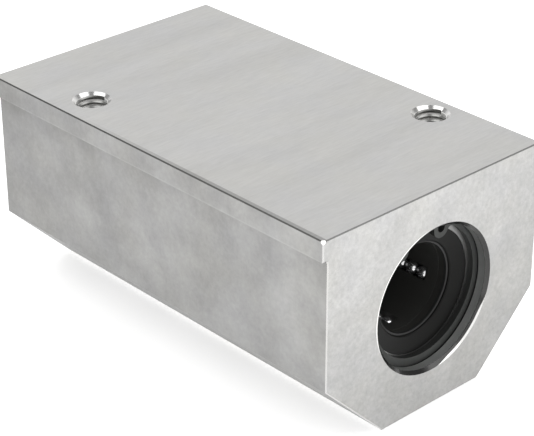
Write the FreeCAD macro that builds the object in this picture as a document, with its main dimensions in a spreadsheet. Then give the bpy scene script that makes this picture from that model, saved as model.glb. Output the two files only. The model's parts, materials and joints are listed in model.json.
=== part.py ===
import FreeCAD, Part
import math
import os
import Sketcher

# Tandem linear bearing block for a 25 mm shaft.
#
# A long aluminium block, bored from end to end, holds two linear ball
# bearings one behind the other. A spacer ring keeps them apart and a
# circlip at each end keeps them in. Each bearing is a steel sleeve with a
# moulded cage of five ball circuits, closed at both ends by a ring, with a
# wiper seal behind the outer one. The block is bolted on by its flat top,
# through two tapped holes that stand diagonally to each other.
#
# The origin is on the bore axis, half way along. +Y runs along the bore,
# +Z points to the mounting face. The front is the end at -Y.

# Driving sizes, in millimetres and degrees
SIZES = [
    # Block: outside form
    ("block_height", 63.0),
    ("axis_below_face", 31.5),
    ("flange_left", 40.0),
    ("flange_right", 38.0),
    ("body_half_width", 38.4),
    ("lip_thickness", 5.8),
    ("lip_fillet", 0.9),
    ("rebate_depth", 8.8),
    ("lower_bevel", 20.4),
    ("edge_break", 0.3),
    # Block: bore mouths and circlip grooves
    ("mouth_chamfer", 0.9),
    ("groove_depth", 1.25),
    ("groove_width", 1.85),
    ("groove_setback", 3.55),
    # Block: tapped holes, M10
    ("hole_spacing_across", 60.0),
    ("hole_spacing_along", 68.0),
    ("tapping_diameter", 8.5),
    ("countersink_rim", 1.05),
    ("hole_depth", 22.0),
    # Circlip
    ("circlip_width_foot", 3.6),
    ("circlip_width_ends", 2.2),
    ("circlip_turn", 7.0),
    ("lug_angle", 24.0),
    ("lug_radius", 2.75),
    ("lug_gap_trim", 0.1),
    ("eye_diameter", 2.5),
    ("eye_below_groove", 3.35),
    ("lug_root_fillet", 1.2),
    # Bearing: sleeve and end rings
    ("bearing_length", 58.0),
    ("sleeve_wall", 3.441),
    ("sleeve_rim", 2.45),
    ("sleeve_chamfer", 0.5),
    ("end_ring_depth", 3.3),
    ("end_ring_set_in", 0.25),
    ("end_ring_dish", 1.2),
    ("end_ring_chamfer", 0.3),
    ("end_ring_shaft_gap", 0.5),
    ("seal_depth", 1.25),
    ("seal_height", 2.25),
    ("seal_lip_width", 0.8),
    ("seal_lip_height", 0.65),
    # Bearing: balls and cage
    ("shaft_diameter", 25.0),
    ("ball_diameter", 3.969),
    ("ball_play", 0.031),
    ("returning_ball_play", 0.28),
    ("circuits", 5),
    ("circuit_half_angle", 14.0),
    ("cage_shaft_gap", 0.35),
    ("cage_entry_gap", 0.5),
    ("cage_entry_length", 2.0),
    ("cage_sleeve_gap", 0.24),
    ("track_floor_rise", 0.6),
    ("track_end_wall", 0.7),
    ("relief_start", 1.0),
    ("window_lip", 0.235),
    # Spacer between the bearings
    ("spacer_width", 3.1),
    ("spacer_wall", 2.6),
    # Clearances
    ("running_clearance", 0.05),
    ("fit_clearance", 0.02),
    ("seat_gap", 0.05),
]

# Measures of the bearing, from the shaft outwards
HALF_BEARING = "sizes.bearing_length / 2"
SHAFT_RADIUS = "sizes.shaft_diameter / 2"
SHAFT_ROOM = "({} + sizes.running_clearance)".format(SHAFT_RADIUS)
BALL_CIRCLE = "({} + sizes.ball_diameter / 2)".format(SHAFT_ROOM)
RACEWAY_RADIUS = "({} + sizes.ball_diameter / 2 + sizes.fit_clearance)".format(BALL_CIRCLE)
SLEEVE_RADIUS = "({} + sizes.sleeve_wall)".format(RACEWAY_RADIUS)
END_SEAT_RADIUS = "({} - sizes.sleeve_rim)".format(SLEEVE_RADIUS)
SEAL_SEAT_RADIUS = "({} + sizes.seal_height)".format(SHAFT_ROOM)
CAGE_HALF = "({} - sizes.end_ring_depth - sizes.seat_gap)".format(HALF_BEARING)
BALL_PITCH = "(sizes.ball_diameter + sizes.ball_play)"
TRACK_OFFSET = "({} * sin(sizes.circuit_half_angle))".format(BALL_CIRCLE)
TRACK_HALF = "(sizes.ball_diameter / 2 + sizes.running_clearance)"
TRACK_FLOOR = "({} + sizes.track_floor_rise)".format(SHAFT_RADIUS)
TRACK_ROOM = "(2 * ({} - sizes.track_end_wall - {} - {}))".format(CAGE_HALF, TRACK_OFFSET, TRACK_HALF)
BALL_STEPS = "floor({} / {})".format(TRACK_ROOM, BALL_PITCH)
ROW_HALF = "({} * {} / 2)".format(BALL_STEPS, BALL_PITCH)
TURN_LENGTH = "(pi * {})".format(TRACK_OFFSET)
RETURN_LENGTH = "(2 * {} + 2 * {})".format(ROW_HALF, TURN_LENGTH)
RETURN_PITCH = "(sizes.ball_diameter + sizes.returning_ball_play)"
RETURN_STEPS = "floor({} / {})".format(RETURN_LENGTH, RETURN_PITCH)
LOADED_DROP = "({} * cos(sizes.circuit_half_angle))".format(BALL_CIRCLE)
RETURN_DROP = "({} + sizes.running_clearance + sizes.ball_diameter / 2)".format(TRACK_FLOOR)
WINDOW_HALF = "(sizes.ball_diameter / 2 - sizes.window_lip)"

# Measures of the block, which is as wide and as long as its bearings ask
BORE_RADIUS = "({} + sizes.fit_clearance)".format(SLEEVE_RADIUS)
GROOVE_RADIUS = "({} + sizes.groove_depth)".format(BORE_RADIUS)
SETBACK = "(sizes.groove_setback + sizes.groove_width)"
HALF_SPACER_ROOM = "(sizes.spacer_width / 2 + sizes.seat_gap)"
HALF_LENGTH = "({} + sizes.bearing_length + {})".format(SETBACK, HALF_SPACER_ROOM)
TOP = "sizes.axis_below_face"
BOTTOM = "(sizes.axis_below_face - sizes.block_height)"
BEVEL_TOP = "({} + sizes.lower_bevel)".format(BOTTOM)
FOOT_HALF = "(sizes.body_half_width - sizes.lower_bevel)"

# Measures of the circlip, which lies in its groove
CIRCLIP_RADIUS = "({} - sizes.seat_gap)".format(GROOVE_RADIUS)
CIRCLIP_THICKNESS = "(sizes.groove_width - 2 * sizes.seat_gap)"
EYE_CIRCLE = "({} - sizes.eye_below_groove)".format(GROOVE_RADIUS)
LUG_GAP_HALF = "({} * sin(sizes.lug_angle) - sizes.lug_radius + sizes.lug_gap_trim)".format(EYE_CIRCLE)

doc = FreeCAD.newDocument("linear_bearing_block")
sheet = doc.addObject("Spreadsheet::Sheet", "sizes")
for row, (alias, number) in enumerate(SIZES, start=1):
    sheet.set("A{}".format(row), alias)
    sheet.set("B{}".format(row), str(number))
    sheet.setAlias("B{}".format(row), alias)
doc.recompute()

made = []


def number(expression):
    """The plain number that an expression on the sheet stands for."""
    result = sheet.evalExpression(expression)
    return float(getattr(result, "Value", result))


def new_body(label):
    """An empty body that becomes one piece."""
    body = doc.addObject("PartDesign::Body", label)
    body.Label = label
    made.append(body)
    return body


def origin_feature(body, role):
    """One of the body's own base planes or axes."""
    return [item for item in body.Origin.OriginFeatures if item.Role == role][0]


def sketch_on(body, plane, name):
    """A sketch on one of the body's base planes."""
    sketch = body.newObject("Sketcher::SketchObject", body.Label + "_" + name)
    sketch.AttachmentSupport = (origin_feature(body, plane), [""])
    sketch.MapMode = "FlatFace"
    return sketch


def bind(sketch, kind, *where):
    """Add a measured constraint whose size is the last argument, an expression."""
    *places, expression = where
    index = sketch.addConstraint(Sketcher.Constraint(kind, *places, number(expression)))
    sketch.setExpression("Constraints[{}]".format(index), expression)


def outline(sketch, points):
    """A closed outline through points, each a pair of expressions."""
    places = [FreeCAD.Vector(number(across), number(along), 0) for across, along in points]
    first = sketch.GeometryCount
    count = len(places)
    for index in range(count):
        sketch.addGeometry(Part.LineSegment(places[index], places[(index + 1) % count]), False)
    for index in range(count):
        following = first + (index + 1) % count
        sketch.addConstraint(Sketcher.Constraint("Coincident", first + index, 2, following, 1))
    for index, (across, along) in enumerate(points):
        bind(sketch, "DistanceX", -1, 1, first + index, 1, across)
        bind(sketch, "DistanceY", -1, 1, first + index, 1, along)


def circle(sketch, across, along, radius):
    """A full circle, its centre and radius given as expressions."""
    centre = FreeCAD.Vector(number(across), number(along), 0)
    upright = FreeCAD.Vector(0, 0, 1)
    index = sketch.addGeometry(Part.Circle(centre, upright, number(radius)), False)
    bind(sketch, "DistanceX", -1, 1, index, 3, across)
    bind(sketch, "DistanceY", -1, 1, index, 3, along)
    bind(sketch, "Radius", index, radius)


def racetrack(sketch, half_straight, half_width):
    """Two straights along the sketch's second axis, joined by half circles."""
    reach = number(half_straight)
    wide = number(half_width)
    upright = FreeCAD.Vector(0, 0, 1)
    right = Part.LineSegment(FreeCAD.Vector(wide, -reach, 0), FreeCAD.Vector(wide, reach, 0))
    left = Part.LineSegment(FreeCAD.Vector(-wide, reach, 0), FreeCAD.Vector(-wide, -reach, 0))
    far = Part.ArcOfCircle(Part.Circle(FreeCAD.Vector(0, reach, 0), upright, wide), 0, math.pi)
    near = Part.ArcOfCircle(Part.Circle(FreeCAD.Vector(0, -reach, 0), upright, wide), math.pi, 2 * math.pi)
    first = sketch.GeometryCount
    for piece in (right, far, left, near):
        sketch.addGeometry(piece, False)
    line_right, arc_far, line_left, arc_near = range(first, first + 4)
    for one, end_one, other, end_other in (
        (line_right, 2, arc_far, 1),
        (arc_far, 2, line_left, 1),
        (line_left, 2, arc_near, 1),
        (arc_near, 2, line_right, 1),
    ):
        sketch.addConstraint(Sketcher.Constraint("Tangent", one, end_one, other, end_other))
    sketch.addConstraint(Sketcher.Constraint("PointOnObject", arc_far, 3, -2))
    sketch.addConstraint(Sketcher.Constraint("PointOnObject", arc_near, 3, -2))
    bind(sketch, "DistanceY", -1, 1, arc_far, 3, half_straight)
    bind(sketch, "DistanceY", arc_near, 3, -1, 1, half_straight)
    bind(sketch, "Radius", arc_far, half_width)


def turned(body, name, points):
    """A full turn of a section, (along the bore, out from its axis), about the bore."""
    sketch = sketch_on(body, "YZ_Plane", name + "_section")
    outline(sketch, points)
    feature = body.newObject("PartDesign::Revolution", body.Label + "_" + name)
    feature.Profile = sketch
    feature.ReferenceAxis = (sketch, ["H_Axis"])
    feature.Angle = 360
    sketch.Visibility = False
    return feature


def slab(body, name, sketch, thickness):
    """A pad of a sketch on the end plane, half to the front and half to the rear."""
    feature = body.newObject("PartDesign::Pad", body.Label + "_" + name)
    feature.Profile = sketch
    feature.SideType = "Symmetric"
    feature.setExpression("Length", thickness)
    return feature


def through_cut(body, name, sketch):
    """A cut through all, to both sides of the sketch."""
    feature = body.newObject("PartDesign::Pocket", body.Label + "_" + name)
    feature.Profile = sketch
    feature.Type = "ThroughAll"
    feature.SideType = "Symmetric"
    return feature


def edges_where(feature, test):
    """Names of the feature's edges that pass a test."""
    doc.recompute()
    found = [
        "Edge{}".format(index)
        for index, edge in enumerate(feature.Shape.Edges, start=1)
        if test(edge)
    ]
    return (feature, found)


def runs_along_bore(edge):
    """True for a straight edge parallel to the bore."""
    if edge.Curve.TypeId != "Part::GeomLine":
        return False
    start, end = (vertex.Point for vertex in edge.Vertexes)
    return abs(start.x - end.x) + abs(start.z - end.z) < 1e-6


def stands_at(edge, across, up):
    """True where a straight edge along the bore stands at this corner of the profile."""
    point = edge.Vertexes[0].Point
    return abs(point.x - number(across)) + abs(point.z - number(up)) < 1e-4


def make_housing():
    """The block: an extruded profile, bored through, with two tapped holes on top."""
    body = new_body("housing")
    lip_under = "sizes.axis_below_face - sizes.lip_thickness"
    rebate_under = "sizes.axis_below_face - sizes.rebate_depth"
    profile = sketch_on(body, "XZ_Plane", "profile")
    outline(profile, [
        ("-sizes.flange_left", TOP),
        ("sizes.flange_right", TOP),
        ("sizes.flange_right", rebate_under),
        ("sizes.body_half_width", rebate_under),
        ("sizes.body_half_width", BEVEL_TOP),
        (FOOT_HALF, BOTTOM),
        ("-({})".format(FOOT_HALF), BOTTOM),
        ("-sizes.body_half_width", BEVEL_TOP),
        ("-sizes.body_half_width", lip_under),
        ("-sizes.flange_left", lip_under),
    ])
    block = slab(body, "block", profile, "2 * " + HALF_LENGTH)

    # The root of the lip keeps the radius of the extrusion
    root = edges_where(block, lambda edge: runs_along_bore(edge)
                       and stands_at(edge, "-sizes.body_half_width", lip_under))
    fillet = body.newObject("PartDesign::Fillet", "lip_root")
    fillet.Base = root
    fillet.setExpression("Radius", "sizes.lip_fillet")

    # Sharp edges are broken: the two top edges, the lip and both end outlines
    def is_sharp(edge):
        if runs_along_bore(edge):
            corners = (("-sizes.flange_left", TOP), ("sizes.flange_right", TOP))
            return any(stands_at(edge, across, up) for across, up in corners)
        half = number(HALF_LENGTH)
        return all(abs(abs(vertex.Point.y) - half) < 1e-6 for vertex in edge.Vertexes)

    broken = body.newObject("PartDesign::Chamfer", "broken_edges")
    broken.Base = edges_where(fillet, is_sharp)
    broken.setExpression("Size", "sizes.edge_break")

    # The bore is turned in one setting, with its chamfered mouths and circlip grooves
    mouth = BORE_RADIUS + " + sizes.mouth_chamfer"
    chamfer_end = HALF_LENGTH + " - sizes.mouth_chamfer"
    groove_outer = HALF_LENGTH + " - sizes.groove_setback"
    groove_inner = HALF_LENGTH + " - " + SETBACK
    rear_half = [
        (HALF_LENGTH, mouth),
        (chamfer_end, BORE_RADIUS),
        (groove_outer, BORE_RADIUS),
        (groove_outer, GROOVE_RADIUS),
        (groove_inner, GROOVE_RADIUS),
        (groove_inner, BORE_RADIUS),
    ]
    front_half = [("-({})".format(along), out) for along, out in reversed(rear_half)]
    section = sketch_on(body, "YZ_Plane", "bore_section")
    outline(section, [(HALF_LENGTH, "0")] + rear_half + front_half + [("-" + HALF_LENGTH, "0")])
    bore = body.newObject("PartDesign::Groove", "bore")
    bore.Profile = section
    bore.ReferenceAxis = (section, ["H_Axis"])
    bore.Angle = 360

    # Tapped holes: one to the left at the rear, one to the right at the front
    centres = sketch_on(body, "XY_Plane", "hole_centres")
    centres.setExpression("AttachmentOffset.Base.z", TOP)
    for side in ("-", ""):
        along = "sizes.hole_spacing_along / 2" if side else "-sizes.hole_spacing_along / 2"
        circle(centres, side + "sizes.hole_spacing_across / 2", along, "sizes.tapping_diameter / 2")
    doc.recompute()
    holes = body.newObject("PartDesign::Hole", "tapped_holes")
    holes.Profile = centres
    doc.recompute()
    holes.Threaded = False
    holes.DepthType = "Dimension"
    holes.DrillPoint = "Angled"
    holes.HoleCutType = "Countersink"
    holes.setExpression("Diameter", "sizes.tapping_diameter")
    holes.setExpression("Depth", "sizes.hole_depth")
    holes.setExpression("HoleCutDiameter", "sizes.tapping_diameter + 2 * sizes.countersink_rim")
    holes.HoleCutCountersinkAngle = 90
    doc.recompute()
    body.Tip = holes


def make_circlip(end, side):
    """An internal retaining ring: a tapering ring with two eyed lugs at its gap."""
    body = new_body(end + "_circlip")
    inner_radius = "({} - (sizes.circlip_width_foot + sizes.circlip_width_ends) / 2)".format(CIRCLIP_RADIUS)
    inner_rise = "((sizes.circlip_width_foot - sizes.circlip_width_ends) / 2)"
    plan = sketch_on(body, "XZ_Plane", "plan")
    circle(plan, "0", "0", CIRCLIP_RADIUS)
    circle(plan, "0", inner_rise, inner_radius)
    slab(body, "ring", plan, CIRCLIP_THICKNESS)

    # One lug is drawn upright and leaned over to its angle, then mirrored
    lug_plan = sketch_on(body, "XZ_Plane", "lug_plan")
    eye_plan = sketch_on(body, "XZ_Plane", "eye_plan")
    for sketch in (lug_plan, eye_plan):
        sketch.AttachmentOffset = FreeCAD.Placement(
            FreeCAD.Vector(), FreeCAD.Rotation(FreeCAD.Vector(0, 0, -1), number("sizes.lug_angle")))
        sketch.setExpression("AttachmentOffset.Rotation.Angle", "sizes.lug_angle")
    reach = "({} - sizes.circlip_width_ends / 2)".format(CIRCLIP_RADIUS)
    wide = number("sizes.lug_radius")
    low = number(EYE_CIRCLE)
    high = number(reach)
    upright = FreeCAD.Vector(0, 0, 1)
    tip = Part.ArcOfCircle(Part.Circle(FreeCAD.Vector(0, low, 0), upright, wide), math.pi, 2 * math.pi)
    lug_plan.addGeometry(tip, False)
    corners = [FreeCAD.Vector(wide, low, 0), FreeCAD.Vector(wide, high, 0),
               FreeCAD.Vector(-wide, high, 0), FreeCAD.Vector(-wide, low, 0)]
    for start, finish in zip(corners, corners[1:]):
        lug_plan.addGeometry(Part.LineSegment(start, finish), False)
    tip_arc, right_side, top_side, left_side = range(4)
    for one, end_one, other, end_other in (
        (tip_arc, 2, right_side, 1),
        (left_side, 2, tip_arc, 1),
    ):
        lug_plan.addConstraint(Sketcher.Constraint("Tangent", one, end_one, other, end_other))
    lug_plan.addConstraint(Sketcher.Constraint("Coincident", right_side, 2, top_side, 1))
    lug_plan.addConstraint(Sketcher.Constraint("Coincident", top_side, 2, left_side, 1))
    lug_plan.addConstraint(Sketcher.Constraint("Horizontal", top_side))
    lug_plan.addConstraint(Sketcher.Constraint("Vertical", right_side))
    lug_plan.addConstraint(Sketcher.Constraint("PointOnObject", tip_arc, 3, -2))
    bind(lug_plan, "Radius", tip_arc, "sizes.lug_radius")
    bind(lug_plan, "DistanceY", -1, 1, tip_arc, 3, EYE_CIRCLE)
    bind(lug_plan, "DistanceY", -1, 1, right_side, 2, reach)
    lug = slab(body, "lug", lug_plan, CIRCLIP_THICKNESS)
    circle(eye_plan, "0", EYE_CIRCLE, "sizes.eye_diameter / 2")
    eye = through_cut(body, "eye", eye_plan)
    pair = body.newObject("PartDesign::Mirrored", body.Label + "_lug_pair")
    pair.Originals = [lug, eye]
    pair.MirrorPlane = (origin_feature(body, "YZ_Plane"), [""])
    body.Tip = pair

    gap_plan = sketch_on(body, "XZ_Plane", "gap_plan")
    outline(gap_plan, [
        (LUG_GAP_HALF, "0"),
        (LUG_GAP_HALF, GROOVE_RADIUS),
        ("-" + LUG_GAP_HALF, GROOVE_RADIUS),
        ("-" + LUG_GAP_HALF, "0"),
    ])
    gap = through_cut(body, "gap", gap_plan)

    # The roots on the far side of each lug are rounded into the ring
    def is_root(edge):
        if not runs_along_bore(edge):
            return False
        point = edge.Vertexes[0].Point
        out = math.hypot(point.x, point.z - number(inner_rise))
        past_eye = abs(point.x) > number(EYE_CIRCLE + " * sin(sizes.lug_angle)")
        return abs(out - number(inner_radius)) < 1e-4 and past_eye and point.z > 0

    roots = body.newObject("PartDesign::Fillet", body.Label + "_roots")
    roots.Base = edges_where(gap, is_root)
    roots.setExpression("Radius", "sizes.lug_root_fillet")

    # Seen from its own end, each circlip sits with its gap a little to the left
    body.Placement = FreeCAD.Placement(
        FreeCAD.Vector(), FreeCAD.Rotation(FreeCAD.Vector(0, int(side), 0), number("sizes.circlip_turn")))
    body.setExpression("Placement.Rotation.Angle", "sizes.circlip_turn")
    body.setExpression("Placement.Base.y", "{} * ({} - {} + sizes.groove_width / 2)".format(
        side, HALF_LENGTH, SETBACK))


def seat_bearing_piece(body, side):
    """Move a piece, drawn about the middle of its bearing, to that bearing's place."""
    body.setExpression("Placement.Base.y", "{} * ({} - {} - {})".format(
        side, HALF_LENGTH, SETBACK, HALF_BEARING))


def turn_to_circuit(piece, circuit):
    """Turn a piece about the bore; the first circuit's loaded balls then lie at its foot."""
    angle = "sizes.circuit_half_angle + 360 * {} / sizes.circuits".format(circuit)
    piece.Placement = FreeCAD.Placement(
        FreeCAD.Vector(), FreeCAD.Rotation(FreeCAD.Vector(0, 1, 0), number(angle)))
    piece.setExpression("Placement.Rotation.Angle", angle)


def five_fold(body, features):
    """Repeat features once for each ball circuit."""
    pattern = body.newObject("PartDesign::PolarPattern", body.Label + "_circuits")
    pattern.Originals = features
    pattern.Axis = (origin_feature(body, "Y_Axis"), [""])
    pattern.Angle = 360
    pattern.setExpression("Occurrences", "sizes.circuits")
    body.Tip = pattern
    return pattern


def make_sleeve(end, side):
    """The steel sleeve: ground outside, raceways inside, a seat for an end ring at each end."""
    body = new_body(end + "_sleeve")
    seat = HALF_BEARING + " - sizes.end_ring_depth"
    flat = "{} - sizes.sleeve_chamfer".format(SLEEVE_RADIUS)
    rear_half = [
        (seat, RACEWAY_RADIUS),
        (seat, END_SEAT_RADIUS),
        (HALF_BEARING, END_SEAT_RADIUS),
        (HALF_BEARING, flat),
        (HALF_BEARING + " - sizes.sleeve_chamfer", SLEEVE_RADIUS),
    ]
    front_half = [("-({})".format(along), out) for along, out in reversed(rear_half)]
    turned(body, "tube", rear_half + front_half)

    # The balls turn and run back in a relief that reaches round the raceway's ends
    relief = sketch_on(body, "XY_Plane", "relief_plan")
    outer = "({} + {})".format(TRACK_OFFSET, TRACK_HALF)
    run = "({} + {})".format(ROW_HALF, outer)
    turn = "({} + sizes.relief_start)".format(ROW_HALF)
    rear_half = [("0", turn), (outer, turn), (outer, run), ("-" + outer, run)]
    front_half = [(across, "-" + along) for across, along in reversed(rear_half)]
    outline(relief, rear_half + front_half)
    cut = body.newObject("PartDesign::Pocket", body.Label + "_relief")
    cut.Profile = relief
    cut.Type = "Length"
    cut.setExpression("Length", "{} + 2 * {}".format(TRACK_FLOOR, TRACK_HALF))
    five_fold(body, [cut])
    turn_to_circuit(body, 0)
    seat_bearing_piece(body, side)


def make_cage(end, side):
    """The moulded cage: a tube with five ball tracks and a window over each loaded row."""
    body = new_body(end + "_cage")
    entry = CAGE_HALF + " - sizes.cage_entry_length"
    entry_radius = SHAFT_RADIUS + " + sizes.cage_entry_gap"
    rear_half = [
        (entry, SHAFT_RADIUS + " + sizes.cage_shaft_gap"),
        (entry, entry_radius),
        (CAGE_HALF, entry_radius),
        (CAGE_HALF, RACEWAY_RADIUS + " - sizes.cage_sleeve_gap"),
    ]
    front_half = [("-({})".format(along), out) for along, out in reversed(rear_half)]
    turned(body, "tube", rear_half + front_half)

    # A track is an oval round an island, sunk from outside down to its floor
    track_plan = sketch_on(body, "XY_Plane", "track_plan")
    track_plan.setExpression("AttachmentOffset.Base.z", "-" + TRACK_FLOOR)
    racetrack(track_plan, ROW_HALF, "({} + {})".format(TRACK_OFFSET, TRACK_HALF))
    racetrack(track_plan, ROW_HALF, "({} - {})".format(TRACK_OFFSET, TRACK_HALF))
    track = body.newObject("PartDesign::Pocket", body.Label + "_track")
    track.Profile = track_plan
    track.Type = "ThroughAll"

    # The window lets the loaded balls reach the shaft, and is too narrow to let them out
    window_plan = sketch_on(body, "XY_Plane", "window_plan")
    inner = "({} - {})".format(TRACK_OFFSET, WINDOW_HALF)
    outer = "({} + {})".format(TRACK_OFFSET, WINDOW_HALF)
    run = "({} + {})".format(ROW_HALF, TRACK_HALF)
    outline(window_plan, [(outer, run), (inner, run), (inner, "-" + run), (outer, "-" + run)])
    window = body.newObject("PartDesign::Pocket", body.Label + "_window")
    window.Profile = window_plan
    window.Type = "ThroughAll"
    five_fold(body, [track, window])
    turn_to_circuit(body, 0)
    seat_bearing_piece(body, side)


def make_end_ring(end, side, place, face, sealed):
    """The black ring that closes one end of a bearing, dished towards its opening."""
    body = new_body("{}_{}_end_ring".format(end, place))
    rim = HALF_BEARING + " - sizes.end_ring_set_in"
    dish = "{} - sizes.end_ring_dish".format(rim)
    throat = SHAFT_RADIUS + " + sizes.end_ring_shaft_gap"
    back = HALF_BEARING + " - sizes.end_ring_depth"
    seat = back + " + sizes.seal_depth"
    outside = END_SEAT_RADIUS + " - sizes.fit_clearance"
    section = [
        (rim, outside),
        (dish, throat + " + sizes.end_ring_chamfer"),
        (dish + " - sizes.end_ring_chamfer", throat),
    ]
    if sealed:
        section += [
            (seat, throat),
            (seat, SEAL_SEAT_RADIUS),
            (back, SEAL_SEAT_RADIUS),
        ]
    else:
        section.append((back, throat))
    section.append((back, outside))
    turned(body, "ring", [("{} * ({})".format(face, along), out) for along, out in section])
    seat_bearing_piece(body, side)


def make_seal(end, side):
    """The wiper seal behind the outer end ring, whose lip runs on the shaft."""
    body = new_body(end + "_wiper_seal")
    back = HALF_BEARING + " - sizes.end_ring_depth"
    front = back + " + sizes.seal_depth - sizes.fit_clearance"
    middle = "({} + {}) / 2".format(front, back)
    foot = "{} + sizes.seal_lip_height".format(SHAFT_ROOM)
    outside = SEAL_SEAT_RADIUS + " - sizes.fit_clearance"
    section = [
        (front, outside),
        (front, foot),
        (middle + " + sizes.seal_lip_width / 2", SHAFT_ROOM),
        (middle + " - sizes.seal_lip_width / 2", SHAFT_ROOM),
        (back, foot),
        (back, outside),
    ]
    turned(body, "ring", [("{} * ({})".format(side, along), out) for along, out in section])
    seat_bearing_piece(body, side)


def make_spacer():
    """The plain ring between the two bearings."""
    body = new_body("spacer_ring")
    half = "sizes.spacer_width / 2"
    inside = "{} - sizes.spacer_wall".format(SLEEVE_RADIUS)
    turned(body, "ring", [
        (half, inside),
        (half, SLEEVE_RADIUS),
        ("-" + half, SLEEVE_RADIUS),
        ("-" + half, inside),
    ])


def ball_solid():
    """A ball drawn with flat facets, so that a great many of them stay light."""
    around = 8
    rings = 4
    radius = number("sizes.ball_diameter / 2")

    def corner(ring, step):
        height = math.pi * (ring / rings - 0.5)
        turn = 2 * math.pi * step / around
        flat = radius * math.cos(height)
        return FreeCAD.Vector(flat * math.cos(turn), radius * math.sin(height), flat * math.sin(turn))

    faces = []
    for ring in range(rings):
        for step in range(around):
            corners = [corner(ring, step), corner(ring, step + 1),
                       corner(ring + 1, step + 1), corner(ring + 1, step)]
            if ring == 0:
                corners = corners[1:]
            if ring == rings - 1:
                corners = corners[:3]
            faces.append(Part.Face(Part.makePolygon(corners + corners[:1])))
    return Part.makeSolid(Part.makeShell(faces))


def way_round(distance):
    """Place (across, along) of a ball this far past the loaded row's rear end."""
    across = number(TRACK_OFFSET)
    along = number(ROW_HALF)
    turn = number(TURN_LENGTH)
    if distance < turn:
        angle = distance / across
        return across * math.cos(angle), along + across * math.sin(angle)
    if distance < turn + 2 * along:
        return -across, along + turn - distance
    angle = (distance - turn - 2 * along) / across
    return -across * math.cos(angle), -along - across * math.sin(angle)


def make_ball_row(end, side, row):
    """One circuit's balls: a loaded row against the shaft and, behind it, the returning ones."""
    ball = ball_solid()
    loaded = int(number(BALL_STEPS)) + 1
    spaces = int(number(RETURN_STEPS))
    places = []
    for index in range(loaded):
        along = number("{} - {} * {}".format(ROW_HALF, index, BALL_PITCH))
        places.append(FreeCAD.Vector(number(TRACK_OFFSET), along, -number(LOADED_DROP)))
    for index in range(1, spaces):
        across, along = way_round(index * number(RETURN_LENGTH) / spaces)
        places.append(FreeCAD.Vector(across, along, -number(RETURN_DROP)))
    feature = doc.addObject("Part::Feature", "{}_ball_row_{}".format(end, row + 1))
    feature.Label = feature.Name
    feature.Shape = Part.makeCompound([ball.translated(place) for place in places])
    turn_to_circuit(feature, row)
    seat_bearing_piece(feature, side)
    made.append(feature)


make_housing()
make_spacer()
for end, side in (("front", "-1"), ("rear", "1")):
    make_circlip(end, side)
    make_sleeve(end, side)
    make_cage(end, side)
    make_end_ring(end, side, "outer", side, sealed=True)
    make_end_ring(end, side, "inner", "-1 * " + side, sealed=False)
    make_seal(end, side)
    for row in range(int(number("sizes.circuits"))):
        make_ball_row(end, side, row)
doc.recompute()

for item in doc.Objects:
    if "Invalid" in item.State or "Error" in item.State:
        raise RuntimeError("{} did not compute: {}".format(item.Label, item.State))
for piece in made:
    if piece.Shape.isNull() or not piece.Shape.isValid():
        raise RuntimeError("{} has no valid shape".format(piece.Label))

os.makedirs("parts", exist_ok=True)
for piece in made:
    piece.Shape.exportStep("parts/{}.step".format(piece.Label))
    print("{:22s} solids {:3d}  volume {:10.1f}".format(
        piece.Label, len(piece.Shape.Solids), piece.Shape.Volume))
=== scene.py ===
import json
import math
from types import SimpleNamespace

import bpy
import numpy as np
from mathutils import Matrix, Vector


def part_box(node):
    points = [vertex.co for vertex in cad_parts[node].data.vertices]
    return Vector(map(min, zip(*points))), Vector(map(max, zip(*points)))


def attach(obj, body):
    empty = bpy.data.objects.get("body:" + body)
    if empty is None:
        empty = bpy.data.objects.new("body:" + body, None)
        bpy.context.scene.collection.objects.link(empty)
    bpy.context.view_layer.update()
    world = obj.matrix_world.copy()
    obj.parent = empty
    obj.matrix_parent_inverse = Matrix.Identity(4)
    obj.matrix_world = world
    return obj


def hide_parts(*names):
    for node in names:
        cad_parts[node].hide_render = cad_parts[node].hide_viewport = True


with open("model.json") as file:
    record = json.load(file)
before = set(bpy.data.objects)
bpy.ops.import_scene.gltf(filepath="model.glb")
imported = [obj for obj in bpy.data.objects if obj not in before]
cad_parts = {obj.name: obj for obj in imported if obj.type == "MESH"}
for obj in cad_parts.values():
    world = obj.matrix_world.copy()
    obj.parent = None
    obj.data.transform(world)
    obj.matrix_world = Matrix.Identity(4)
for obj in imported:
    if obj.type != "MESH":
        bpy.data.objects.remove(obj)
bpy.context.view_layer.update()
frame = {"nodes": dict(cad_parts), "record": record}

# Camera: the block is seen from above its near left corner, from about half a metre away, through
# a long lens. The picture is 534 pixels wide, and its centre line lies 6.5 pixels left of the
# lens axis.
CAMERA_PLACE = (-0.3093, -0.3361, 0.2424)
CAMERA_AZIMUTH = -43.08
CAMERA_ELEVATION = 28.17
CAMERA_LENS = 127.1
CAMERA_CLIP = 0.01
PICTURE_WIDTH = 534
AXIS_OFFSET = 6.5

camera = bpy.data.objects.new("camera", bpy.data.cameras.new("camera"))
bpy.context.scene.collection.objects.link(camera)
camera.location = CAMERA_PLACE
camera.rotation_euler = (math.radians(90 - CAMERA_ELEVATION), 0, math.radians(CAMERA_AZIMUTH))
camera.data.lens = CAMERA_LENS
camera.data.shift_x = -AXIS_OFFSET / PICTURE_WIDTH
camera.data.clip_start = CAMERA_CLIP
bpy.context.scene.camera = camera

# Studio: a white backdrop beyond the block, a soft box high on either side of the camera, one
# above the camera, one low at the front right for the bored end, and a pale floor that is faintly
# lit from below.
BACKDROP_COLOUR = (1, 1, 1, 1)
BACKDROP_TOWARDS = (0.60, 0.64, 0.48)
BACKDROP_EDGE = (0.58, 0.80)
BACKDROP_STRENGTH = 1.10
ROOM_STRENGTH = 0.30
FLOOR_HALF = 1.5
FLOOR_COLOUR = (0.95, 0.95, 0.95, 1)
FLOOR_ROUGHNESS = 0.9
FLOOR_GLOW = 0.55

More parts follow.
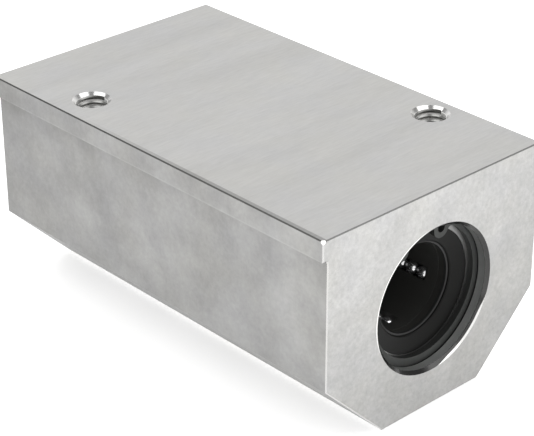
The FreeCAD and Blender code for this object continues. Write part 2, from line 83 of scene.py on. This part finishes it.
# Each soft box has a place, a width in metres and a power in watts
SOFT_BOXES = {
    "left_box": ((-0.61, 0.24, 0.79), 0.80, 3.3),
    "right_box": ((0.29, -0.59, 0.79), 0.80, 3.3),
    "camera_box": ((-0.42, -0.80, 0.42), 0.85, 2.0),
    "front_box": ((0.55, -0.75, 0.30), 0.60, 0.6),
}


def add_node(tree, kind, inputs, **properties):
    """A node of one kind. Its inputs go by name or number, each a value or a node's output."""
    made = tree.nodes.new(kind)
    for name, value in properties.items():
        setattr(made, name, value)
    for name, value in inputs.items():
        if isinstance(value, bpy.types.NodeSocket):
            tree.links.new(value, made.inputs[name])
        else:
            made.inputs[name].default_value = value
    return made


class Sums:
    """Sums in one node tree. A mask is 1 where it holds and 0 elsewhere."""

    def __init__(self, tree):
        self.tree = tree

    def calculate(self, operation, first, second):
        """One sum of two values."""
        inputs = {0: first, 1: second}
        return add_node(self.tree, "ShaderNodeMath", inputs, operation=operation).outputs[0]

    def vector(self, operation, first, second=(0, 0, 0)):
        """One sum of vectors that gives a vector."""
        inputs = {0: first, 1: second}
        made = add_node(self.tree, "ShaderNodeVectorMath", inputs, operation=operation)
        return made.outputs["Vector"]

    def measure(self, operation, first, second=(0, 0, 0)):
        """One sum of vectors that gives a value: a length, a distance or a dot product."""
        inputs = {0: first, 1: second}
        made = add_node(self.tree, "ShaderNodeVectorMath", inputs, operation=operation)
        return made.outputs["Value"]

    def scaled(self, vector, share):
        """A vector or colour times a value."""
        inputs = {0: vector, "Scale": share}
        made = add_node(self.tree, "ShaderNodeVectorMath", inputs, operation="SCALE")
        return made.outputs["Vector"]

    def axes(self, vector):
        """A vector's three values, by axis."""
        return add_node(self.tree, "ShaderNodeSeparateXYZ", {0: vector}).outputs

    def product(self, *values):
        """All values multiplied. Of masks, it holds where all of them hold."""
        result = values[0]
        for value in values[1:]:
            result = self.calculate("MULTIPLY", result, value)
        return result

    def largest(self, *values):
        """The largest value. Of masks, it holds where any of them holds."""
        result = values[0]
        for value in values[1:]:
            result = self.calculate("MAXIMUM", result, value)
        return result

    def over(self, value, limit):
        """The mask of values above a limit."""
        return self.calculate("GREATER_THAN", value, limit)

    def under(self, value, limit):
        """The mask of values below a limit."""
        return self.calculate("LESS_THAN", value, limit)

    def opposite(self, mask):
        """The mask that holds where this one doesn't."""
        return self.calculate("SUBTRACT", 1.0, mask)

    def pick(self, mask, off, on):
        """The value on where the mask holds, and off elsewhere."""
        inputs = {"Factor": mask, "A": off, "B": on}
        return add_node(self.tree, "ShaderNodeMix", inputs, data_type="FLOAT").outputs["Result"]

    def pick_colour(self, mask, off, on):
        """The colour on where the mask holds, and off elsewhere."""
        inputs = {"Factor": mask, "A": off, "B": on}
        return add_node(self.tree, "ShaderNodeMix", inputs, data_type="RGBA").outputs["Result"]

    def ramp(self, value, span, ends=(0.0, 1.0), shape="LINEAR"):
        """Runs from the first end to the second while the value runs over the span."""
        inputs = {"Value": value, "From Min": span[0], "From Max": span[1],
                  "To Min": ends[0], "To Max": ends[1]}
        made = add_node(self.tree, "ShaderNodeMapRange", inputs, interpolation_type=shape)
        return made.outputs["Result"]


def new_finish(name, **sockets):
    """A new material whose Principled shader has these values, with its tree and shader."""
    finish = bpy.data.materials.new(name)
    finish.use_nodes = True
    shader = finish.node_tree.nodes["Principled BSDF"]
    for socket, value in sockets.items():
        shader.inputs[socket.replace("_", " ")].default_value = value
    return finish, finish.node_tree, shader


bpy.context.scene.view_settings.view_transform = "Standard"
room = bpy.data.worlds.new("studio_room")
room.use_nodes = True
room_sums = Sums(room.node_tree)
sky = add_node(room.node_tree, "ShaderNodeTexCoord", {})
beyond = room_sums.measure("DOT_PRODUCT", sky.outputs["Generated"], BACKDROP_TOWARDS)
strength = room_sums.ramp(beyond, BACKDROP_EDGE, (ROOM_STRENGTH, BACKDROP_STRENGTH))
background = room.node_tree.nodes["Background"]
background.inputs["Color"].default_value = BACKDROP_COLOUR
room.node_tree.links.new(strength, background.inputs["Strength"])
bpy.context.scene.world = room

for name, (place, width, power) in SOFT_BOXES.items():
    box = bpy.data.objects.new(name, bpy.data.lights.new(name, "AREA"))
    box.data.shape = "SQUARE"
    box.data.size = width
    box.data.energy = power
    box.location = place
    inward = -np.array(place)
    tilt = math.acos(-inward[2] / np.linalg.norm(inward))
    turn = math.atan2(inward[1], inward[0]) - math.pi / 2
    box.rotation_euler = (tilt, 0, turn)
    bpy.context.scene.collection.objects.link(box)

floor_finish = new_finish(
    "floor_paper", Base_Color=FLOOR_COLOUR, Roughness=FLOOR_ROUGHNESS,
    Emission_Color=FLOOR_COLOUR, Emission_Strength=FLOOR_GLOW)[0]
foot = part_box("housing")[0].z
floor_mesh = bpy.data.meshes.new("floor")
floor_mesh.from_pydata(
    [(-FLOOR_HALF, -FLOOR_HALF, foot), (FLOOR_HALF, -FLOOR_HALF, foot),
     (FLOOR_HALF, FLOOR_HALF, foot), (-FLOOR_HALF, FLOOR_HALF, foot)], [], [(0, 1, 2, 3)])
floor_mesh.materials.append(floor_finish)
floor = bpy.data.objects.new("floor", floor_mesh)
bpy.context.scene.collection.objects.link(floor)

# Housing: a block of extruded aluminium, sawn to length, with its top and ends milled and its bore
# turned. The extruded sides are clouded, the ends finely speckled and the top faintly streaked.
# A share is a tone as a part of the bare metal's, and places are in metres from the bore's middle.
ALUMINIUM = (0.62, 0.615, 0.605)
WARM_TINT = (1.0, 1.0, 0.985, 1)
COOL_TINT = (0.985, 0.99, 1.0, 1)
TINT_SCALE = 75.0
TINT_DETAIL = 3.0
TINT_CONTRAST = 3.0
TINT_SHIFT = 1.0
BLOCK_METALLIC = 0.9
BLOCK_ROUGHNESS = (0.38, 0.52)
TOOL_MARK_DEPTH = 0.00002
TOOL_MARK_STRENGTH = 0.6

# Clouds and grain: each pair is the scale of a noise and the amount by which it swings the tone
CLOUD_DETAIL = 5.0
CLOUD_ROUGHNESS = 0.6
GRAIN_DETAIL = 3.0
GRAIN_ROUGHNESS = 0.7
NOISE_MEAN = 0.5
SIDE_CLOUDS = (60.0, 0.85)
SIDE_GRAIN = (700.0, 0.30)
END_CLOUDS = (110.0, 0.35)
END_GRAIN = (900.0, 0.60)
TOP_CLOUDS = (110.0, 0.25)
TOP_GRAIN = (1400.0, 0.25)


def make_mottle():
    """Clouds and grain as a node group: a soft and a fine noise, each swung about 1 by its own
    amount, multiply to the tone, and the fine noise alone is the height."""
    group = bpy.data.node_groups.new("mottle", "ShaderNodeTree")
    group.interface.new_socket("Place", in_out="INPUT", socket_type="NodeSocketVector")
    for label in ("Cloud Scale", "Cloud Amount", "Grain Scale", "Grain Amount"):
        group.interface.new_socket(label, in_out="INPUT", socket_type="NodeSocketFloat")
    for label in ("Tone", "Height"):
        group.interface.new_socket(label, in_out="OUTPUT", socket_type="NodeSocketFloat")
    given = group.nodes.new("NodeGroupInput").outputs
    result = group.nodes.new("NodeGroupOutput").inputs

    clouds = add_node(group, "ShaderNodeTexNoise", {
        "Vector": given["Place"], "Scale": given["Cloud Scale"],
        "Detail": CLOUD_DETAIL, "Roughness": CLOUD_ROUGHNESS}).outputs["Fac"]
    grain = add_node(group, "ShaderNodeTexNoise", {
        "Vector": given["Place"], "Scale": given["Grain Scale"],
        "Detail": GRAIN_DETAIL, "Roughness": GRAIN_ROUGHNESS}).outputs["Fac"]
    sums = Sums(group)
    swings = []
    for noise, amount in ((clouds, given["Cloud Amount"]), (grain, given["Grain Amount"])):
        centred = sums.calculate("SUBTRACT", noise, NOISE_MEAN)
        swings.append(sums.calculate("ADD", sums.product(centred, amount), 1.0))
    group.links.new(sums.product(*swings), result["Tone"])
    group.links.new(grain, result["Height"])
    return group


mottle = make_mottle()


def place_mottle(tree, place, clouds, grain):
    """The outputs of the mottle group, placed in a material with that material's own values."""
    return add_node(tree, "ShaderNodeGroup", {
        "Place": place, "Cloud Scale": clouds[0], "Cloud Amount": clouds[1],
        "Grain Scale": grain[0], "Grain Amount": grain[1]}, node_tree=mottle).outputs


# Regions of the block: flat faces, broken edges, the lip, the bore with its mouths, and the holes
FLAT_LIMIT = 0.95
RIM_SIDE = 0.0372
RIM_END = 0.0645
RIM_HEIGHT = 0.03115
SINK_HEIGHT = 0.0302
CORNER = (-0.040, -0.065, 0.0315)
CORNER_REACH = 0.0009
LIP_REACH = 0.0395
BEVEL_TOP = -0.01115
BORE_REACH = 0.0215
BORE_END = 0.0640
MOUTH_EDGE = 0.02120
MOUTH_EDGE_TURN = (-0.866, 0, 0.5)
MOUTH_EDGE_FADE = (0.6, 0.8)
LIGHT_TURN = (0.629, 0, -0.777)
HOLE_PLACE = (0.030, 0.034, 0)
HOLE_REACH = 0.0044
HOLE_FOOT = 0.0050


def find_spot(sums):
    """Where a point of the block lies: its place, its distance along each axis and from the bore's
    axis, how far it is turned towards the light, and how squarely its face looks along an axis."""
    where = add_node(sums.tree, "ShaderNodeTexCoord", {}).outputs
    place = where["Object"]
    across = sums.vector("MULTIPLY", place, (1, 0, 1))
    ray = sums.vector("NORMALIZE", across)
    return SimpleNamespace(
        place=place,
        at=sums.axes(place),
        reach=sums.axes(sums.vector("ABSOLUTE", place)),
        lean=sums.axes(sums.vector("ABSOLUTE", where["Normal"])),
        out=sums.measure("LENGTH", across),
        ray=ray,
        lit=sums.measure("DOT_PRODUCT", ray, LIGHT_TURN),
    )


def find_regions(sums, spot):
    """The masks of the block's regions. The holes are found by their distance in plan from one
    place, which stands for both because they lie opposite each other."""
    flat = {axis: sums.over(spot.lean[axis], FLAT_LIMIT) for axis in "XYZ"}
    leaning = sums.opposite(sums.largest(flat["X"], flat["Y"], flat["Z"]))
    end = sums.over(spot.reach["Y"], RIM_END)

    outmost = sums.largest(sums.over(spot.reach["X"], RIM_SIDE), end)
    corner = sums.under(sums.measure("DISTANCE", spot.place, CORNER), CORNER_REACH)
    rim = sums.product(outmost, sums.over(spot.reach["Z"], RIM_HEIGHT), leaning,
                       sums.opposite(corner))
    broken = sums.product(sums.largest(sums.over(spot.reach["Z"], SINK_HEIGHT), end),
                          sums.calculate("SUBTRACT", leaning, rim))

    near_bore = sums.under(spot.out, BORE_REACH)
    bore = sums.product(near_bore, sums.under(spot.reach["Y"], BORE_END))
    mouth = sums.product(near_bore, leaning, sums.opposite(bore))
    mouth_turn = sums.measure("DOT_PRODUCT", spot.ray, MOUTH_EDGE_TURN)
    mouth_edge = sums.product(sums.under(spot.out, MOUTH_EDGE), flat["Y"], end,
                              sums.ramp(mouth_turn, MOUTH_EDGE_FADE))

    in_plan = sums.vector("ABSOLUTE", sums.vector("MULTIPLY", spot.place, (1, 1, 0)))
    to_hole = sums.measure("DISTANCE", in_plan, HOLE_PLACE)
    hole = sums.product(sums.under(to_hole, HOLE_REACH), sums.over(spot.at["Z"], HOLE_FOOT),
                        sums.opposite(flat["Z"]))
    return SimpleNamespace(
        flat=flat,
        end=end,
        rim=rim,
        broken=broken,
        bore=bore,
        mouth=mouth,
        hole=hole,
        lip=sums.over(spot.reach["X"], LIP_REACH),
        bevel=sums.product(leaning, sums.under(spot.at["Z"], BEVEL_TOP)),
        painted_glint=sums.largest(corner, mouth_edge),
    )


# The sides are darker than the top and the ends, partly for their raw extruded finish and partly as
# painted shade
SIDE_SHARE = 0.595
SIDE_REAR_SHADE_SHARE = 0.84
BEVEL_SHADE_SHARE = 0.78
LIP_SHARE = 1.04
LIP_EDGE_TOP = 0.0261
LIP_EDGE_HIGHLIGHT_SHARE = 1.12
LIP_FOOT = 0.0257
LIP_SHADE = 0.90
LIP_SHADE_END = 0.0190


def side_tone(sums, spot, region):
    """The clouded sides: painted shade makes them a little darker to the rear, on the bevels and
    close below the lip. They are lighter on the lip, with a painted highlight along its lower edge."""
    height = spot.at["Z"]
    lip = sums.pick(sums.under(height, LIP_EDGE_TOP),
                    SIDE_SHARE * LIP_SHARE, SIDE_SHARE * LIP_EDGE_HIGHLIGHT_SHARE)
    wall = sums.ramp(height, (LIP_SHADE_END, LIP_FOOT), (SIDE_SHARE, SIDE_SHARE * LIP_SHADE))
    rearward = sums.ramp(spot.at["Y"], (-RIM_END, RIM_END), (1.0, SIDE_REAR_SHADE_SHARE))
    clouds = place_mottle(sums.tree, spot.place, SIDE_CLOUDS, SIDE_GRAIN)
    return sums.product(clouds["Tone"], sums.pick(region.lip, wall, lip), rearward,
                        sums.pick(region.bevel, 1.0, BEVEL_SHADE_SHARE))


END_RISE = (-0.4, 0, 1)
END_RISE_REACH = (-0.030, 0.035)
END_PAINTED_LIGHT_SHARES = (0.66, 0.84)


def end_tone(sums, spot, speckle):
    """The speckled ends, with painted light that makes them lighter towards the top left."""
    up_left = sums.measure("DOT_PRODUCT", spot.place, END_RISE)
    return sums.product(speckle, sums.ramp(up_left, END_RISE_REACH, END_PAINTED_LIGHT_SHARES))


TOP_SHARE = 0.86
STREAK_TURN = 43.0
STREAK_STRETCH = (0.12, 1, 1)
DARK_BAND_EDGE = -0.0386
DARK_BAND_SHARE = 0.64
DARK_BAND_FADE = (0.030, -0.020)


def top_tone(sums, spot):
    """The streaked top, with a band of painted shade along its left edge that fades to the rear."""
    streaked = add_node(sums.tree, "ShaderNodeMapping", {
        "Vector": spot.place, "Rotation": (0, 0, math.radians(STREAK_TURN)),
        "Scale": STREAK_STRETCH})
    streaks = place_mottle(sums.tree, streaked.outputs["Vector"], TOP_CLOUDS, TOP_GRAIN)
    band = sums.product(sums.under(spot.at["X"], DARK_BAND_EDGE), sums.ramp(spot.at["Y"], DARK_BAND_FADE))
    return sums.product(streaks["Tone"], sums.pick(band, TOP_SHARE, TOP_SHARE * DARK_BAND_SHARE))


# Painted shade on the mouths' chamfers, and a painted highlight crescent on them
CRESCENT_HIGHLIGHT_SHARE = 1.35
CUT_PAINTED_SHADE_SHARE = 0.10
CRESCENT_FADE = (0.82, 0.96)
CRESCENT_WIDTH = 0.00042
MOUTH_RADIUS = 0.0209


def mouth_tone(sums, spot):
    """A mouth's chamfer: painted shade, but for a painted highlight crescent at its rim facing the
    light.
    """
    crescent = sums.ramp(spot.lit, CRESCENT_FADE,
                         (MOUTH_RADIUS, MOUTH_RADIUS - CRESCENT_WIDTH), "SMOOTHSTEP")
    return sums.pick(sums.over(spot.out, crescent), CUT_PAINTED_SHADE_SHARE, CRESCENT_HIGHLIGHT_SHARE)


# The bore's wall has painted light where it faces the light and painted shade from the grooves in
BORE_WALL = (0.46, 0.47, 0.46, 1)
LIT_WALL = (0.66, 0.67, 0.66, 1)
LIT_WALL_FADE = (0.4, 1.0)
GROOVE_START = 0.06180
GROOVE_SHADE = (0.03, 0.03, 0.03, 1)


def bore_colour(sums, spot):
    """The bore's wall: painted lighter where it faces the light, and painted shade from the circlip
    grooves in.
    """
    wall = sums.pick_colour(sums.ramp(spot.lit, LIT_WALL_FADE), BORE_WALL, LIT_WALL)
    return sums.pick_colour(sums.under(spot.reach["Y"], GROOVE_START), wall, GROOVE_SHADE)


SINK_SHARE = 1.15
BROKEN_SHARE = 0.92
# Painted glints on the near top left corner and on the mouths' edges
GLINT_SHARE = 1.6
# Painted light that lifts the holes' walls
HOLE_PAINTED_LIGHT_SHARE = 1.5
# Painted dark reflections on the rim's chamfers; those on the ends are less dark
RIM_DARK_REFLECTION = (0.12, 0.12, 0.115, 1)
END_RIM_DARK_REFLECTION = (0.22, 0.22, 0.215, 1)
CUT_ROUGHNESS = 0.16
HOLE_ROUGHNESS = 0.8


def make_block_finish():
    """Aluminium. The way that a face looks picks the sides', the ends' or the top's tone, and its
    place picks out the countersinks and broken edges, the mouths, the painted glints on the corner
    and the mouths' edges, the holes' walls painted lighter, the painted dark reflection round the
    top, and the bore."""
    finish, tree, shader = new_finish("block_aluminium", Metallic=BLOCK_METALLIC)
    sums = Sums(tree)
    spot = find_spot(sums)
    region = find_regions(sums, spot)
    speckle = place_mottle(tree, spot.place, END_CLOUDS, END_GRAIN)

    tone = sums.pick(region.flat["Y"], side_tone(sums, spot, region),
                     end_tone(sums, spot, speckle["Tone"]))
    tone = sums.pick(region.flat["Z"], tone, top_tone(sums, spot))
    tone = sums.pick(region.broken, tone, sums.pick(region.end, SINK_SHARE, BROKEN_SHARE))
    tone = sums.pick(region.mouth, tone, mouth_tone(sums, spot))
    tone = sums.pick(region.painted_glint, tone, GLINT_SHARE)
    tone = sums.pick(region.hole, tone, HOLE_PAINTED_LIGHT_SHARE)

    tints = add_node(tree, "ShaderNodeTexNoise", {
        "Vector": spot.place, "Scale": TINT_SCALE, "Detail": TINT_DETAIL}).outputs["Fac"]
    coolness = sums.calculate("SUBTRACT", sums.product(tints, TINT_CONTRAST), TINT_SHIFT)
    metal = sums.vector("MULTIPLY", sums.pick_colour(coolness, WARM_TINT, COOL_TINT), ALUMINIUM)
    rim_reflection = sums.pick_colour(region.end, RIM_DARK_REFLECTION, END_RIM_DARK_REFLECTION)
    colour = sums.pick_colour(region.rim, sums.scaled(metal, tone), rim_reflection)
    colour = sums.pick_colour(region.bore, colour, bore_colour(sums, spot))
    tree.links.new(colour, shader.inputs["Base Color"])

    roughness = sums.ramp(speckle["Height"], (0.0, 1.0), BLOCK_ROUGHNESS)
    cut = sums.largest(region.mouth, region.broken)
    roughness = sums.pick(cut, roughness, CUT_ROUGHNESS)
    roughness = sums.pick(region.hole, roughness, HOLE_ROUGHNESS)
    tree.links.new(roughness, shader.inputs["Roughness"])
    bump = add_node(tree, "ShaderNodeBump", {
        "Height": speckle["Height"], "Distance": TOOL_MARK_DEPTH, "Strength": TOOL_MARK_STRENGTH})
    tree.links.new(bump.outputs["Normal"], shader.inputs["Normal"])
    return finish


def dress(finish, *names):
    """Gives the CAD nodes of these names one material."""
    for name in names:
        for slot in frame["nodes"][name].material_slots:
            slot.material = finish


dress(make_block_finish(), "housing")

# Threads: two M10 holes are tapped in the block's top, one at the rear left and one at the front
# right. Each thread is a V-shaped ridge that winds down the wall of its hole and fades at both
# ends. The ridge's section is a fall in pitches and a rise in heights for each of its points.
THREAD_PITCH = 0.0015
THREAD_LENGTH = 0.0180
THREAD_TOP_GAP = 0.0010
THREAD_CREASE = 25.0
STEPS_PER_TURN = 64
FADE_TURNS = 0.35
LEAST_RISE = 0.02
RIDGE_HEIGHT = 0.0004
RIDGE_SINK = 0.00002
RIDGE_SECTION = ((-0.36, 0), (-0.08, 1), (0.08, 1), (0.36, 0))
MILLIMETRE = 0.001


def make_skin_finish(name, colour, metallic, roughness, clouds, grain, bump_height=0.0, gloss=0.5):
    """A plain skin: one colour whose tone follows the mottle, and a bump that follows its grain."""
    finish, tree, shader = new_finish(
        name, Metallic=metallic, Roughness=roughness, Specular_IOR_Level=gloss)
    where = add_node(tree, "ShaderNodeTexCoord", {}).outputs
    spots = place_mottle(tree, where["Object"], clouds, grain)
    tree.links.new(Sums(tree).scaled(colour, spots["Tone"]), shader.inputs["Base Color"])
    if bump_height:
        bump = add_node(tree, "ShaderNodeBump", {
            "Height": spots["Height"], "Distance": bump_height, "Strength": 1.0})
        tree.links.new(bump.outputs["Normal"], shader.inputs["Normal"])
    return finish


def lay_mesh(name, points, faces, finish, crease):
    """A piece of points and faces on the one body, smooth but for edges sharper than crease."""
    mesh = bpy.data.meshes.new(name)
    mesh.from_pydata(points.tolist(), [], faces)
    mesh.shade_smooth()
    mesh.set_sharp_from_angle(angle=math.radians(crease))
    mesh.materials.append(finish)
    piece = bpy.data.objects.new(name, mesh)
    bpy.context.scene.collection.objects.link(piece)
    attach(piece, "root")
    return piece


def tube_faces(steps, sides):
    """Quads of an open tube of steps rings of sides points each, and a cap over each end."""
    ring = np.arange(sides)
    following = (ring + 1) % sides
    start = np.arange(steps - 1)[:, None] * sides
    quads = np.stack([start + ring, start + following,
                      start + sides + following, start + sides + ring], -1)
    caps = [ring[::-1].tolist(), (ring + (steps - 1) * sides).tolist()]
    return quads.reshape(-1, 4).tolist() + caps


def thread_points(centre, top, wall):
    """The ridge's section carried down a helix: angle t, height top - pitch t / 2 pi, and radius
    the wall's less the ridge's height, which rises and falls from next to nothing at each end."""
    turns = THREAD_LENGTH / THREAD_PITCH
    angle = np.linspace(0, 2 * math.pi * turns, int(turns * STEPS_PER_TURN))
    share = angle / (2 * math.pi)
    swell = np.clip(np.minimum(share, turns - share) / FADE_TURNS, LEAST_RISE, 1)
    fall, rise = np.array(RIDGE_SECTION).T
    radius = wall - RIDGE_SINK - RIDGE_HEIGHT * swell[:, None] * rise
    height = top - THREAD_PITCH * share[:, None] - THREAD_PITCH * fall
    points = np.stack([centre[0] + radius * np.cos(angle)[:, None],
                       centre[1] + radius * np.sin(angle)[:, None], height], -1)
    return points.reshape(-1, 3), len(angle)


cut_finish = make_skin_finish(
    "cut_aluminium", colour=(0.34, 0.34, 0.33), metallic=1.0, roughness=0.32,
    clouds=(300.0, 0.6), grain=(3000.0, 0.6))
top_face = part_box("housing")[1].z
holes = [mount for mount in frame["record"]["mounts"] if mount["kind"] == "threaded_hole"]
for hole in holes:
    wall = hole["dims"]["r_mm"] * MILLIMETRE
    points, steps = thread_points(hole["pos_m"], top_face - THREAD_TOP_GAP, wall)
    lay_mesh(hole["name"].replace("tapped_hole", "thread"), points,
             tube_faces(steps, len(RIDGE_SECTION)), cut_finish, THREAD_CREASE)

# Circlips: stamped rings of spring steel with a dark phosphate skin, sprung into the grooves of
# the bore with pliers in the two eyes.
phosphate = make_skin_finish(
    "circlip_phosphate", colour=(0.064, 0.066, 0.064), metallic=0.8, roughness=0.55,
    clouds=(200.0, 0.3), grain=(2500.0, 0.3), bump_height=0.00001)
dress(phosphate, "front_circlip", "rear_circlip")

# Sleeves and spacer: hardened bearing steel, ground outside and turned on the ends, pushed into
# the bore one behind the other with the spacer ring between them.
ground_steel = make_skin_finish(
    "ground_steel", colour=(0.30, 0.30, 0.297), metallic=1.0, roughness=0.42,
    clouds=(150.0, 0.1), grain=(3000.0, 0.1), bump_height=0.000004)
dress(ground_steel, "front_sleeve", "rear_sleeve", "spacer_ring")

# End rings: moulded black polymer with a dull satin skin, pressed into each end of a sleeve over
# the cage.
end_ring_polymer = make_skin_finish(
    "end_ring_polymer", colour=(0.006, 0.006, 0.0055), metallic=0.0, roughness=0.38,
    clouds=(120.0, 0.3), grain=(2200.0, 0.4), bump_height=0.00001, gloss=0.12)
dress(end_ring_polymer, "front_outer_end_ring", "front_inner_end_ring",
      "rear_outer_end_ring", "rear_inner_end_ring")

# Wiper seals: nitrile rubber rings, pressed in behind the outer end rings, whose thin lips run on
# the shaft.
nitrile = make_skin_finish(
    "seal_nitrile", colour=(0.016, 0.016, 0.016), metallic=0.0, roughness=0.55,
    clouds=(100.0, 0.3), grain=(1800.0, 0.5), bump_height=0.00001)
dress(nitrile, "front_wiper_seal", "rear_wiper_seal")

# Cages: moulded black polymer tubes with five oval tracks, which guide the balls round their
# circuits. They are slid into the sleeves and held by the end rings.
cage_polymer = make_skin_finish(
    "cage_polymer", colour=(0.030, 0.030, 0.028), metallic=0.0, roughness=0.42,
    clouds=(100.0, 0.3), grain=(2000.0, 0.4), bump_height=0.00001)
dress(cage_polymer, "front_cage", "rear_cage")

# Balls: polished chrome steel, five circuits to a bearing, the first at the foot of the bore. In
# each, a loaded row stands between raceway and shaft, and the rest turn and run back in the cage
# behind it. Facets are a ball's faces round it and from pole to pole.
BALL_DIAMETER = 0.003969
CIRCUITS = 5
CIRCUIT_HALF_ANGLE = 14.0
TRACK_OFFSET = 0.003516
LOADED_HALF = 0.0180
LOADED_DROP = 0.014103
LOADED_BALLS = 10
LOADED_FACETS = (20, 10)
RETURN_DROP = 0.0151345
RETURNING_BALLS = 12
RETURNING_FACETS = (10, 6)
BALL_CREASE = 80.0


def unit_ball(sides, steps):
    """A ball of radius 1: rings at latitude p and longitude q, (cos p cos q, sin p, cos p sin q),
    and two poles. Returns the points, the quads and the triangles round the poles."""
    latitude = (np.arange(1, steps) / steps - 0.5) * math.pi
    longitude = 2 * math.pi * np.arange(sides) / sides
    rings = np.stack([np.outer(np.cos(latitude), np.cos(longitude)),
                      np.outer(np.sin(latitude), np.ones(sides)),
                      np.outer(np.cos(latitude), np.sin(longitude))], -1).reshape(-1, 3)
    points = np.vstack([rings, [[0, -1, 0], [0, 1, 0]]])
    low_pole = len(rings)
    high_pole = low_pole + 1
    ring = np.arange(sides)
    following = (ring + 1) % sides
    start = np.arange(steps - 2)[:, None] * sides
    quads = np.stack([start + ring, start + sides + ring,
                      start + sides + following, start + following], -1).reshape(-1, 4)
    last = (steps - 2) * sides
    low = np.stack([ring, following, np.full(sides, low_pole)], -1)
    high = np.stack([last + following, last + ring, np.full(sides, high_pole)], -1)
    return points, quads, np.vstack([low, high])


def ball_mesh(centres, facets):
    """One ball round each centre, as points and faces."""
    points, quads, fans = unit_ball(*facets)
    shift = np.arange(len(centres))[:, None, None] * len(points)
    placed = centres[:, None, :] + points * BALL_DIAMETER / 2
    faces = (quads + shift).reshape(-1, 4).tolist() + (fans + shift).reshape(-1, 3).tolist()
    return placed.reshape(-1, 3), faces


def loaded_centres():
    """A straight row beside the circuit's middle: (offset, -half to half, -drop)."""
    along = np.linspace(-LOADED_HALF, LOADED_HALF, LOADED_BALLS)
    offset = np.full(LOADED_BALLS, TRACK_OFFSET)
    return np.stack([offset, along, np.full(LOADED_BALLS, -LOADED_DROP)], -1)


def returning_centres():
    """Even steps s round the rest of the oval: a half circle of radius offset past one end of the
    row, a straight back on the other side, and a half circle past the other end. On a half circle
    the angle is s over the radius."""
    turn = math.pi * TRACK_OFFSET
    way = 2 * turn + 2 * LOADED_HALF
    step = np.arange(1, RETURNING_BALLS + 1) * way / (RETURNING_BALLS + 1)
    far = np.clip(step, 0, turn) / TRACK_OFFSET
    near = np.clip(step - turn - 2 * LOADED_HALF, 0, turn) / TRACK_OFFSET
    straight = np.clip(step - turn, 0, 2 * LOADED_HALF)
    across = TRACK_OFFSET * (np.cos(far) + 1 - np.cos(near))
    along = LOADED_HALF - straight + TRACK_OFFSET * (np.sin(far) - np.sin(near))
    return np.stack([across, along, np.full(RETURNING_BALLS, -RETURN_DROP)], -1)


def turn_about_bore(points, angle):
    """Points turned about the Y axis: x cos a + z sin a, y, z cos a - x sin a."""
    x, y, z = points.T
    return np.stack([x * math.cos(angle) + z * math.sin(angle), y,
                     z * math.cos(angle) - x * math.sin(angle)], -1)


ball_finish = make_skin_finish(
    "polished_ball", colour=(0.72, 0.72, 0.73), metallic=0.93, roughness=0.10,
    clouds=(200.0, 0.04), grain=(3000.0, 0.04), bump_height=0.000001)
for end in ("front", "rear"):
    low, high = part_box(end + "_sleeve")
    middle = np.array([0, (low.y + high.y) / 2, 0])
    for circuit in range(CIRCUITS):
        angle = math.radians(CIRCUIT_HALF_ANGLE + 360 * circuit / CIRCUITS)
        loaded, loaded_faces = ball_mesh(
            turn_about_bore(loaded_centres(), angle) + middle, LOADED_FACETS)
        returning, returning_faces = ball_mesh(
            turn_about_bore(returning_centres(), angle) + middle, RETURNING_FACETS)
        shifted = [[corner + len(loaded) for corner in face] for face in returning_faces]
        piece = lay_mesh("{}_balls_{}".format(end, circuit + 1), np.vstack([loaded, returning]),
                         loaded_faces + shifted, ball_finish, BALL_CREASE)
        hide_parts("{}_ball_row_{}".format(end, circuit + 1))
